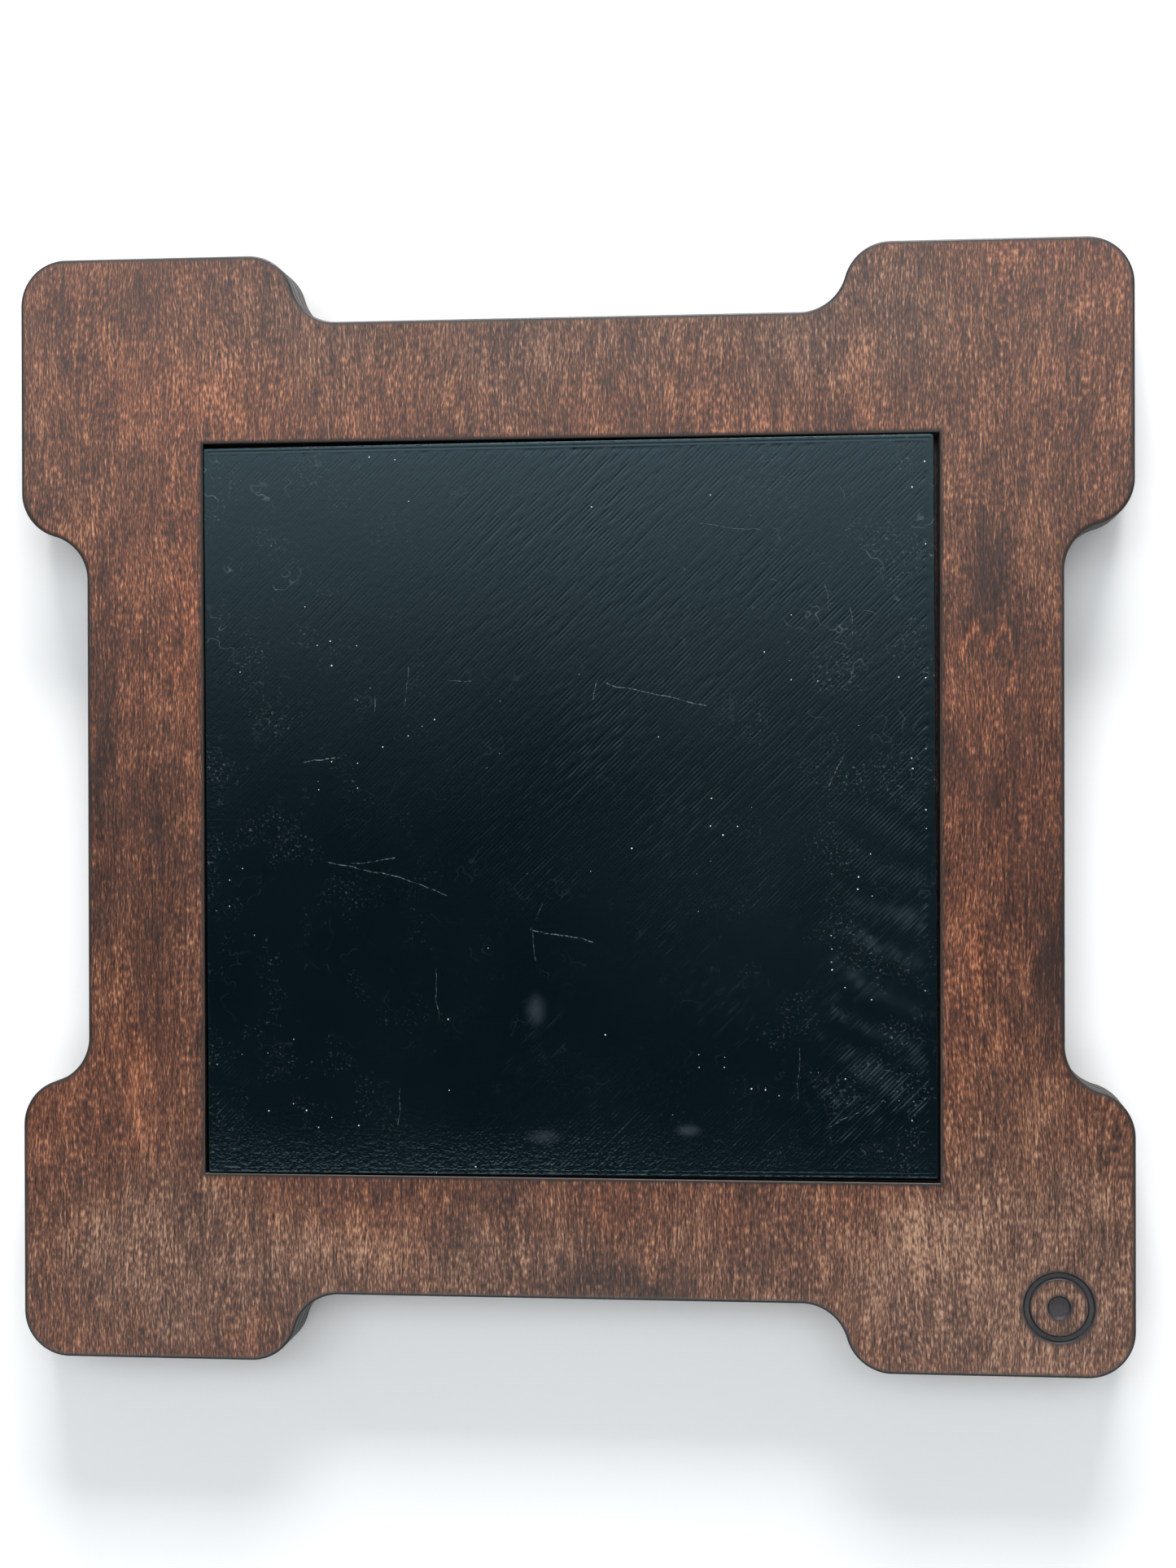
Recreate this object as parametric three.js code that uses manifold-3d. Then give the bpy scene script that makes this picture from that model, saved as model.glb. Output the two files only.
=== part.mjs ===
// A small square tabletop game board: a wooden frame laminated from three laser-cut sheets of
// birch plywood, a loose 3D-printed panel that drops into its square opening, and four rubber feet.
//
// Millimetres, +Z up. The board lies flat. The origin is on the table, under the board's centre.
// The veneer grain of the top face runs along Y.

import * as THREE from "three";
import { mergeVertices } from "three/addons/utils/BufferGeometryUtils.js";
import Module from "manifold-3d";

// ---- Driving dimensions ---------------------------------------------------------------------

const BOARD_SIDE = 152.4; // overall square, across the corner lobes
const WAIST_LENGTH = 63.5; // straight stretch in the middle of each side
const WAIST_DEPTH = 9.3; // how far each side steps in between its two lobes
const OUTLINE_RADIUS = 6.35; // every rounded stretch of the outline
const OPENING_SIDE = 100.7; // square opening through the top and middle sheets
const WINDOW_SIDE = 91.0; // smaller opening in the bottom sheet, which leaves a ledge

const VENEER = 0.9; // outer ply of a plywood sheet
const CORE = 1.2; // cross ply between two veneers
const SHEET_NAMES = ["bottom_sheet", "middle_sheet", "top_sheet"];

const FOOT_RADIUS = 4.75;
const FOOT_HEIGHT = 2.0;
const FOOT_EDGE_RADIUS = 0.5;
const FOOT_OFFSET = 60.0; // foot centres from the board's centre, along X and along Y

const PANEL_SIDE = 100.0; // loose in the opening by 0.7 all told
const PANEL_CORNER_RADIUS = 0.5;
const PANEL_TURN_DEG = 0.26; // how it happens to lie in the opening, anticlockwise from above
const PANEL_SHIFT_X = -0.1;
const PANEL_FACE = 2.4; // thickness of its face
const PANEL_RIM = 4.0; // width of the rim that stands on the ledge
const PANEL_RIB = 1.6; // width of its stiffening ribs
const PANEL_RIB_CLEARANCE = 1.2; // the ribs stop short of the ledge's level by this
const PANEL_CELLS = 3; // pockets along each side of its back

const MARK_X = 66.1; // engraved ring and dot on one lobe
const MARK_Y = -66.8;
const MARK_RADIUS = 4.3; // to the middle of the ring's groove
const MARK_LINE = 0.85; // width of the groove
const MARK_DOT_RADIUS = 1.5;
const MARK_DEPTH = 0.5;

const ARC_SEGMENTS = 5; // an arc of the outline is drawn with twice this many straight steps
const CORNER_SEGMENTS = 2; // the same for the panel's small corners
const ROUND_SEGMENTS = 40; // steps around the feet and the engraved ring
const FOOT_EDGE_SEGMENTS = 4;
const MERGE_DISTANCE = 1e-4; // vertices nearer than this are one
const OVERCUT = 1.0; // how far a cutting body runs past the face that it cuts

// ---- Heights that follow from them ----------------------------------------------------------

const SHEET = VENEER + CORE + VENEER;
const LEDGE_Z = FOOT_HEIGHT + SHEET;
const TOP_Z = FOOT_HEIGHT + SHEET * SHEET_NAMES.length;

// ---- Materials ------------------------------------------------------------------------------

const matt = (color, roughness) =>
  new THREE.MeshStandardMaterial({ color, roughness, metalness: 0 });
const stainedVeneer = () => matt(0x75503f, 0.55);
const darkenedCore = () => matt(0x2b211d, 0.6);
const printedPlastic = () => matt(0x10191f, 0.42);
const footRubber = () => matt(0x161616, 0.85);

// ---- Booleans -------------------------------------------------------------------------------

const wasm = await Module();
wasm.setup();

function toSolid(geometry) {
  const bare = geometry.clone();
  bare.deleteAttribute("normal");
  bare.deleteAttribute("uv");
  const merged = mergeVertices(bare, MERGE_DISTANCE);
  return new wasm.Manifold(
    new wasm.Mesh({
      numProp: 3,
      vertProperties: new Float32Array(merged.attributes.position.array),
      triVerts: new Uint32Array(merged.index.array),
    }),
  );
}

function toGeometry(solid) {
  const mesh = solid.getMesh();
  const geometry = new THREE.BufferGeometry();
  geometry.setAttribute("position", new THREE.BufferAttribute(mesh.vertProperties, 3));
  geometry.setIndex(new THREE.BufferAttribute(mesh.triVerts, 1));
  geometry.computeVertexNormals();
  return geometry;
}

// ---- Outlines -------------------------------------------------------------------------------

// One side steps in through two equal arcs that meet on a common tangent: a convex shoulder at
// the lobe and a concave fillet at the waist. Their centres are two radii apart.
function boardOutline() {
  const half = BOARD_SIDE / 2;
  const radius = OUTLINE_RADIUS;
  const filletX = WAIST_LENGTH / 2;
  const filletY = half - WAIST_DEPTH + radius;
  const shoulderY = half - radius;
  const drop = filletY - shoulderY;
  const shoulderX = filletX + Math.sqrt((2 * radius) ** 2 - drop ** 2);
  const tilt = Math.asin(drop / (2 * radius));

  const outline = new THREE.Shape();
  const arc = (side, x, y, from, to, clockwise) => {
    const centre = new THREE.Vector2(x, y).rotateAround(new THREE.Vector2(0, 0), side);
    outline.absarc(centre.x, centre.y, radius, from + side, to + side, clockwise);
  };
  const quarter = Math.PI / 2;
  for (let index = 0; index < 4; index++) {
    const side = index * quarter;
    arc(side, half - radius, half - radius, 0, quarter, false);
    arc(side, shoulderX, shoulderY, quarter, Math.PI - tilt, false);
    arc(side, filletX, filletY, -tilt, -quarter, true);
    arc(side, -filletX, filletY, -quarter, tilt - Math.PI, true);
    arc(side, -shoulderX, shoulderY, tilt, quarter, false);
  }
  return outline;
}

function squareHole(side) {
  const half = side / 2;
  return new THREE.Path([
    new THREE.Vector2(-half, -half),
    new THREE.Vector2(-half, half),
    new THREE.Vector2(half, half),
    new THREE.Vector2(half, -half),
  ]);
}

function roundedSquare(side, radius) {
  const inner = side / 2 - radius;
  const shape = new THREE.Shape();
  const quarter = Math.PI / 2;
  const corners = [
    [inner, inner],
    [-inner, inner],
    [-inner, -inner],
    [inner, -inner],
  ];
  corners.forEach(([x, y], index) => {
    shape.absarc(x, y, radius, index * quarter, (index + 1) * quarter, false);
  });
  return shape;
}

// ---- Plywood frame --------------------------------------------------------------------------

function plyGeometry(openingSide, thickness) {
  const outline = boardOutline();
  outline.holes.push(squareHole(openingSide));
  return new THREE.ExtrudeGeometry(outline, {
    depth: thickness,
    bevelEnabled: false,
    curveSegments: ARC_SEGMENTS,
  });
}

// A groove that runs round a ring, and a shallow round dot at its centre.
function markCutter(faceZ) {
  const low = faceZ - MARK_DEPTH;
  const high = faceZ + OVERCUT;
  const inner = MARK_RADIUS - MARK_LINE / 2;
  const outer = MARK_RADIUS + MARK_LINE / 2;
  const ringProfile = [
    new THREE.Vector2(inner, low),
    new THREE.Vector2(outer, low),
    new THREE.Vector2(outer, high),
    new THREE.Vector2(inner, high),
    new THREE.Vector2(inner, low),
  ];
  const dotProfile = [
    new THREE.Vector2(0, low),
    new THREE.Vector2(MARK_DOT_RADIUS, low),
    new THREE.Vector2(MARK_DOT_RADIUS, high),
    new THREE.Vector2(0, high),
  ];
  const place = (profile) =>
    toSolid(uprightLathe(profile).translate(MARK_X, MARK_Y, 0));
  return place(ringProfile).add(place(dotProfile));
}

// A turned shape whose profile is given as (radius, height), standing along Z.
function uprightLathe(profile) {
  return new THREE.LatheGeometry(profile, ROUND_SEGMENTS).rotateX(Math.PI / 2);
}

function addSheet(group, name, openingSide, bottomZ, isTop) {
  const plies = [
    ["back_veneer", VENEER, stainedVeneer],
    ["cross_core", CORE, darkenedCore],
    ["face_veneer", VENEER, stainedVeneer],
  ];
  let z = bottomZ;
  for (const [plyName, thickness, material] of plies) {
    let geometry = plyGeometry(openingSide, thickness);
    if (isTop && plyName === "face_veneer") {
      geometry = toGeometry(toSolid(geometry).subtract(markCutter(thickness)));
    }
    const ply = new THREE.Mesh(geometry, material());
    ply.name = `${name}_${plyName}`;
    ply.position.z = z;
    group.add(ply);
    z += thickness;
  }
}

function plywoodFrame() {
  const frame = new THREE.Group();
  SHEET_NAMES.forEach((name, index) => {
    const openingSide = index === 0 ? WINDOW_SIDE : OPENING_SIDE;
    const isTop = index === SHEET_NAMES.length - 1;
    addSheet(frame, name, openingSide, FOOT_HEIGHT + index * SHEET, isTop);
  });
  return frame;
}

// ---- Printed panel --------------------------------------------------------------------------

// A flat face on a full-depth rim. Shallow ribs cross its back and divide it into square pockets.
function printedPanel() {
  const height = TOP_Z - LEDGE_Z;
  const cavitySide = PANEL_SIDE - 2 * PANEL_RIM;
  const ribCount = PANEL_CELLS - 1;
  const pocketSide = (cavitySide - ribCount * PANEL_RIB) / PANEL_CELLS;
  const pocketDepth = height - PANEL_FACE - PANEL_RIB_CLEARANCE;

  const block = new THREE.ExtrudeGeometry(roundedSquare(PANEL_SIDE, PANEL_CORNER_RADIUS), {
    depth: height,
    bevelEnabled: false,
    curveSegments: CORNER_SEGMENTS,
  });
  const cavityDepth = PANEL_RIB_CLEARANCE + OVERCUT;
  const cavity = new THREE.BoxGeometry(cavitySide, cavitySide, cavityDepth);
  cavity.translate(0, 0, PANEL_RIB_CLEARANCE - cavityDepth / 2);
  let solid = toSolid(block).subtract(toSolid(cavity));

  const step = pocketSide + PANEL_RIB;
  const middle = (PANEL_CELLS - 1) / 2;
  const cutDepth = pocketDepth + OVERCUT;
  for (let row = 0; row < PANEL_CELLS; row++) {
    for (let column = 0; column < PANEL_CELLS; column++) {
      const pocket = new THREE.BoxGeometry(pocketSide, pocketSide, cutDepth);
      const topOfPocket = PANEL_RIB_CLEARANCE + pocketDepth;
      pocket.translate((column - middle) * step, (row - middle) * step, topOfPocket - cutDepth / 2);
      solid = solid.subtract(toSolid(pocket));
    }
  }

  const panel = new THREE.Mesh(toGeometry(solid), printedPlastic());
  panel.name = "printed_panel";
  panel.position.set(PANEL_SHIFT_X, 0, LEDGE_Z);
  panel.rotation.z = THREE.MathUtils.degToRad(PANEL_TURN_DEG);
  return panel;
}

// ---- Feet -----------------------------------------------------------------------------------

// A round stick-on bumper: flat where it sticks to the board, rounded at its lower edge.
function rubberFoot(name, x, y) {
  const edge = new THREE.EllipseCurve(
    FOOT_RADIUS - FOOT_EDGE_RADIUS,
    FOOT_EDGE_RADIUS,
    FOOT_EDGE_RADIUS,
    FOOT_EDGE_RADIUS,
    -Math.PI / 2,
    0,
  );
  const profile = [
    new THREE.Vector2(0, 0),
    ...edge.getPoints(FOOT_EDGE_SEGMENTS),
    new THREE.Vector2(FOOT_RADIUS, FOOT_HEIGHT),
    new THREE.Vector2(0, FOOT_HEIGHT),
  ];
  const foot = new THREE.Mesh(uprightLathe(profile), footRubber());
  foot.name = name;
  foot.position.set(x, y, 0);
  return foot;
}

function rubberFeet() {
  const feet = new THREE.Group();
  for (const [depthName, ySign] of [["near", -1], ["far", 1]]) {
    for (const [sideName, xSign] of [["left", -1], ["right", 1]]) {
      const name = `rubber_foot_${depthName}_${sideName}`;
      feet.add(rubberFoot(name, xSign * FOOT_OFFSET, ySign * FOOT_OFFSET));
    }
  }
  return feet;
}

// ---- The whole board ------------------------------------------------------------------------

const board = new THREE.Group();
board.add(plywoodFrame(), printedPanel(), rubberFeet());

export default board;
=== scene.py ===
"""A small square tabletop game board: a stained birch-plywood frame with a loose black 3D-printed panel.

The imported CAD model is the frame. Each of its solids is replaced by a piece of the same size with
the fine surface that the real one has: rounded laser-cut edges, an engraved mark, printed beads.
Lengths below are in millimetres unless they say otherwise; meshes are made in metres.
"""

import math
import random

import bpy
import numpy as np
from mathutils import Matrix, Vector, noise
from mathutils.geometry import tessellate_polygon


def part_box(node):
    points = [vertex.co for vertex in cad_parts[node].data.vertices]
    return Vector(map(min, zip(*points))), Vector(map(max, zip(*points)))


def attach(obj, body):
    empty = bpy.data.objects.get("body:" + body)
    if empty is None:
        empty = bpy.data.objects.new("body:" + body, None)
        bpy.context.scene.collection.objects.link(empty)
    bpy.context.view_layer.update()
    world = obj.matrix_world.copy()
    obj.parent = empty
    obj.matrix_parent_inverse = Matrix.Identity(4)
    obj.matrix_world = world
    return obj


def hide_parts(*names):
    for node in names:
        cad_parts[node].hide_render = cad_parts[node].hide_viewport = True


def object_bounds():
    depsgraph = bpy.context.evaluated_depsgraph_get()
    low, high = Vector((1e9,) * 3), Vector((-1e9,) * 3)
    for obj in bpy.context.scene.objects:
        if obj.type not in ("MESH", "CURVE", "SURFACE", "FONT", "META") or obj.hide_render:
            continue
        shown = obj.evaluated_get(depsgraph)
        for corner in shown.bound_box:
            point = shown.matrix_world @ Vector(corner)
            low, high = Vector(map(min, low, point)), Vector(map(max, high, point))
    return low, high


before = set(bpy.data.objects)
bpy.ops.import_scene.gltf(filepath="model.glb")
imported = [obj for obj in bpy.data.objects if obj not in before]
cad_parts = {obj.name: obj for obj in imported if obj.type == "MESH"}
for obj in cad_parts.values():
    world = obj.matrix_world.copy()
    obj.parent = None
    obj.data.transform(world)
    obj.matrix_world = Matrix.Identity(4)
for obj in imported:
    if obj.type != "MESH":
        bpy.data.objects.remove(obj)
cad_low, cad_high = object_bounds()

MM = 0.001  # metres in a millimetre
QUARTER = math.pi / 2

# ---- Sizes, as in the CAD model -------------------------------------------------------------

BOARD_HALF = cad_high.x / MM
TOP_Z = cad_high.z / MM
WAIST_HALF = 31.75  # half the straight stretch of a side
WAIST_DEPTH = 9.3
OUTLINE_RADIUS = 6.35
OPENING_HALF = 50.35
WINDOW_HALF = 45.5
PANEL_HALF = 50.0
PANEL_TURN = math.radians(0.26)  # the loose panel lies a little turned in its opening
PANEL_SHIFT_X = -0.1  # and off its middle
PANEL_RIM = 4.0
PANEL_RIB = 1.6
PANEL_CELLS = 3  # pockets along each side of its back
PANEL_RIB_LEVEL = 1.2  # underside of the ribs, above the rim's underside
PANEL_POCKET_LEVEL = 3.6  # roof of the pockets
MARK_CENTRE = (66.1, -66.8)
MARK_RADIUS = 4.3
MARK_LINE = 0.85
MARK_DOT_RADIUS = 1.5
MARK_DEPTH = 0.5

# ---- Fine surface, made here ----------------------------------------------------------------

ARRIS = 0.28  # rounding of the sanded edges of the top and bottom faces
GLUE_GROOVE = 0.07  # chamfer of the sheets where they meet
CORE_RECESS = 0.05  # the laser burns the softer core back by this
SCORCH_WIDTH = 0.45  # how far the scorching reaches in from an edge
MARK_SCORCH = 0.7  # how far it reaches outwards from the mark
LAND_SCORCH = 0.45  # and inwards, on the wood between the ring and the dot
LAND_SCORCH_LEVEL = 0.15
MARK_RIM = 0.08  # chamfer of the mark's upper edges
GROOVE_WALL = [  # (into the groove, downwards), from the face to the mark's floor
    (-MARK_RIM, 0.0),
    (0.0, MARK_RIM),
    (0.04, MARK_DEPTH - 0.12),
    (0.16, MARK_DEPTH),
]

BEAD = 0.47  # width of one printed bead
BEAD_RELIEF = 0.015  # from a bead's crest to the valley beside it
BEAD_SPREAD = 0.22  # how much lower a bead may lie, as a share of the relief
BEAD_SEED = 7
BEAD_STEP = 1.25  # between vertices along a bead
STEP_MARGIN = 0.2  # least distance of a vertex from a bead's U-turn, in steps
BEAD_TURN = 0.42  # length of the U-turn at a bead's end
TURN_SHARE = 0.75  # height of the joined end of two beads, as a share of the relief
PIT_SHARE = -0.9  # and of the pit where they aren't joined
SAMPLES_PER_BEAD = 4  # lines of vertices across one bead
EDGE_BEADS = 2  # beads that run round the panel's border
PANEL_EDGE = 0.13  # rounding of the panel's upper edge
UPPER_EDGE = [  # (inwards, corner radius, downwards) of the rings that make it
    (0.0936, 0.42, 0.012),
    (0.0455, 0.47, 0.06),
    (0.013, 0.50, 0.14),
]
PANEL_CORNER = 0.5  # radius of the panel's upright corners
BASE_CHAMFER = 0.12  # of the panel's lowest edge
LAYER = 0.2  # printed layer height
LAYER_BULGE = 0.025  # how far the middle of a layer stands out from its joints
LAYER_CREST = 0.02  # how far above a joint the inner ring of vertices lies
POCKET_CORNER = 0.8  # radius of the corners of the pockets in the back
POCKET_CLEARANCE = 0.05  # keeps the pockets' mouths off the rim's inner wall

FOOT_STEPS = 72  # vertices round a foot
FOOT_EDGE = 0.5  # rounding of a foot's lower edge
FOOT_EDGE_STEPS = 5
FOOT_BULGE = 0.06  # how far the adhesive disc stands out past the moulded body
FOOT_SOLE = [(1.6, 0.12), (1.0, 0.02), (0.65, 0.0)]  # (inwards, upwards): slightly hollow
FOOT_NECK = [  # (inwards, downwards from the wood): body, neck, adhesive disc
    (0.10, 0.34),
    (0.18, 0.28),
    (0.18, 0.22),
    (0.01, 0.17),
    (0.0, 0.10),
    (0.0, 0.0),
]

# ---- Slots of a ply's materials -------------------------------------------------------------

FACE, EDGE, CHAR = 0, 1, 2

# ---- Light and camera -----------------------------------------------------------------------

# radiance of the studio's parts
FAR_CEILING = 2.9
NEAR_CEILING = 2.6
WALLS = 0.55
HORIZON = 0.30  # added to the walls low down
DARKEST = 0.01  # between the ceilings
WINDOW_RADIANCE = 32.0
STUDIO_COLOUR = (0.97, 1.0, 1.02, 1.0)

# floor and window, in metres
FLOOR_REACH = 4.0
WINDOW_SIZE = (0.60, 0.35)
WINDOW_PLACE = (0.05, 1.10, 0.42)

CAMERA_PLACE = (38.53, 5.33, 342.4)  # millimetres; the height is above the board's top face
CAMERA_ANGLES = (-0.347, 5.93, -0.143)  # degrees
CAMERA_LENS = 58.1
CAMERA_SENSOR = 36.0


# ---- Mesh making ----------------------------------------------------------------------------


class Builder:
    """Collects vertices and faces in millimetres, then makes one mesh object in metres.

    Rings run anticlockwise seen from above. Bands follow a solid's section in this order:
    up its outer wall, inwards over its top, down its inner wall, outwards over its underside."""

    def __init__(self):
        self.vertices = []
        self.faces = []
        self.slots = []
        self.scorch = []  # 0 to 1 for each vertex

    def ring(self, points, scorch=0.0):
        """Adds vertices and returns their numbers."""
        first = len(self.vertices)
        self.vertices.extend(points)
        self.scorch.extend([scorch] * len(points))
        return list(range(first, len(self.vertices)))

    def face(self, corners, slot=0):
        """Adds a face. Its corners run anticlockwise seen from outside."""
        self.faces.append(tuple(corners))
        self.slots.append(slot)

    def band(self, first, second, slot=0):
        """Quads between two closed rings of the same length."""
        for i, (a, b) in enumerate(zip(first, second)):
            self.face((a, first[i + 1 - len(first)], second[i + 1 - len(second)], b), slot)

    def zip_rows(self, first, second, first_keys, second_keys, slot=0):
        """Triangles between two open rows of vertices, taken in the order of their keys."""
        i = j = 0
        while i < len(first) - 1 or j < len(second) - 1:
            first_left = i < len(first) - 1
            second_left = j < len(second) - 1
            if first_left and (not second_left or first_keys[i + 1] <= second_keys[j + 1]):
                self.face((first[i], first[i + 1], second[j]), slot)
                i += 1
            else:
                self.face((first[i], second[j + 1], second[j]), slot)
                j += 1

    def zip_rings(self, first, second):
        """Triangles between two closed rings that both start at the positive x axis."""
        full_turn = 2 * math.pi
        first_angles = [angle_round(self.vertices[n]) for n in first]
        second_angles = [angle_round(self.vertices[n]) for n in second]
        first_angles.append(first_angles[0] + full_turn)
        second_angles.append(second_angles[0] + full_turn)
        self.zip_rows(first + first[:1], second + second[:1], first_angles, second_angles)

    def cap(self, loops, slot=0, upward=True):
        """Fills a flat area: the first loop is its outline and the others are holes in it."""
        points = [[Vector(self.vertices[v]) for v in loop] for loop in loops]
        numbers = [v for loop in loops for v in loop]
        for triangle in tessellate_polygon(points):
            a, b, c = (numbers[k] for k in triangle)
            (ax, ay, _), (bx, by, _), (cx, cy, _) = (self.vertices[v] for v in (a, b, c))
            faces_up = (bx - ax) * (cy - ay) > (cx - ax) * (by - ay)
            self.face((a, b, c) if faces_up == upward else (a, c, b), slot)

    def make(self, name, materials, sharp_angle=40):
        """The finished object, smooth except where faces meet at more than sharp_angle degrees."""
        mesh = bpy.data.meshes.new(name)
        metres = np.asarray(self.vertices, float) * MM
        mesh.from_pydata(metres.tolist(), [], self.faces)
        for material in materials:
            mesh.materials.append(material)
        mesh.polygons.foreach_set("material_index", self.slots)
        scorch = mesh.attributes.new("scorch", "FLOAT", "POINT")
        scorch.data.foreach_set("value", self.scorch)
        mesh.update()
        mesh.shade_smooth()
        mesh.set_sharp_from_angle(angle=math.radians(sharp_angle))
        piece = bpy.data.objects.new(name, mesh)
        bpy.context.scene.collection.objects.link(piece)
        return piece


def angle_round(point):
    """The direction of a point from the centre, 0 to a full turn."""
    return math.atan2(point[1], point[0]) % (2 * math.pi)


def at_height(points, z):
    """Flat points lifted to one height."""
    return [(x, y, z) for x, y in points]


# ---- Outlines -------------------------------------------------------------------------------


def board_outline(inset, steps=20):
    """The board's outline as (x, y), anticlockwise, moved inwards by inset.

    Every round stretch keeps its centre, so a convex arc shrinks and a concave one grows."""
    radius = OUTLINE_RADIUS
    corner = BOARD_HALF - radius
    fillet_y = BOARD_HALF - WAIST_DEPTH + radius
    drop = fillet_y - corner
    shoulder_x = WAIST_HALF + math.sqrt((2 * radius) ** 2 - drop**2)
    tilt = math.asin(drop / (2 * radius))
    convex = radius - inset
    concave = radius + inset
    arcs = [  # centre, radius, start and end angle, whether it starts where the one before ends
        (corner, corner, convex, 0, QUARTER, False),
        (shoulder_x, corner, convex, QUARTER, math.pi - tilt, False),
        (WAIST_HALF, fillet_y, concave, -tilt, -QUARTER, True),
        (-WAIST_HALF, fillet_y, concave, -QUARTER, tilt - math.pi, False),
        (-shoulder_x, corner, convex, tilt, QUARTER, True),
    ]
    points = []
    for side in range(4):
        cosine = round(math.cos(side * QUARTER))
        sine = round(math.sin(side * QUARTER))
        for x, y, r, start, end, joined in arcs:
            for k in range(1 if joined else 0, steps + 1):
                angle = start + (end - start) * k / steps
                px = x + r * math.cos(angle)
                py = y + r * math.sin(angle)
                points.append((px * cosine - py * sine, px * sine + py * cosine))
    return points


def square(half):
    """The corners of a square, anticlockwise from the one at +X -Y."""
    return [(half, -half), (half, half), (-half, half), (-half, -half)]


def rounded_square(half, radius, corner_steps, side_steps):
    """A square with round corners whose sides are divided too, anticlockwise."""
    inner = half - radius
    points = []
    for corner in range(4):
        cosine = round(math.cos(corner * QUARTER))
        sine = round(math.sin(corner * QUARTER))
        local = []
        for k in range(corner_steps + 1):
            angle = k / corner_steps * QUARTER
            local.append((inner + radius * math.cos(angle), inner + radius * math.sin(angle)))
        for k in range(1, side_steps):
            local.append((inner * (1 - 2 * k / side_steps), half))
        points += [(x * cosine - y * sine, x * sine + y * cosine) for x, y in local]
    return points


def circle(centre, radius, steps=96):
    """Points on a circle, anticlockwise."""
    angles = [2 * math.pi * k / steps for k in range(steps)]
    return [(centre[0] + radius * math.cos(a), centre[1] + radius * math.sin(a)) for a in angles]


# ---- Materials ------------------------------------------------------------------------------


def srgb(red, green, blue, alpha=1.0):
    """A colour given as 0 to 255 screen values, in linear light."""

    def linear(value):
        value /= 255
        return value / 12.92 if value <= 0.04045 else ((value + 0.055) / 1.055) ** 2.4

    return (linear(red), linear(green), linear(blue), alpha)


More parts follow.
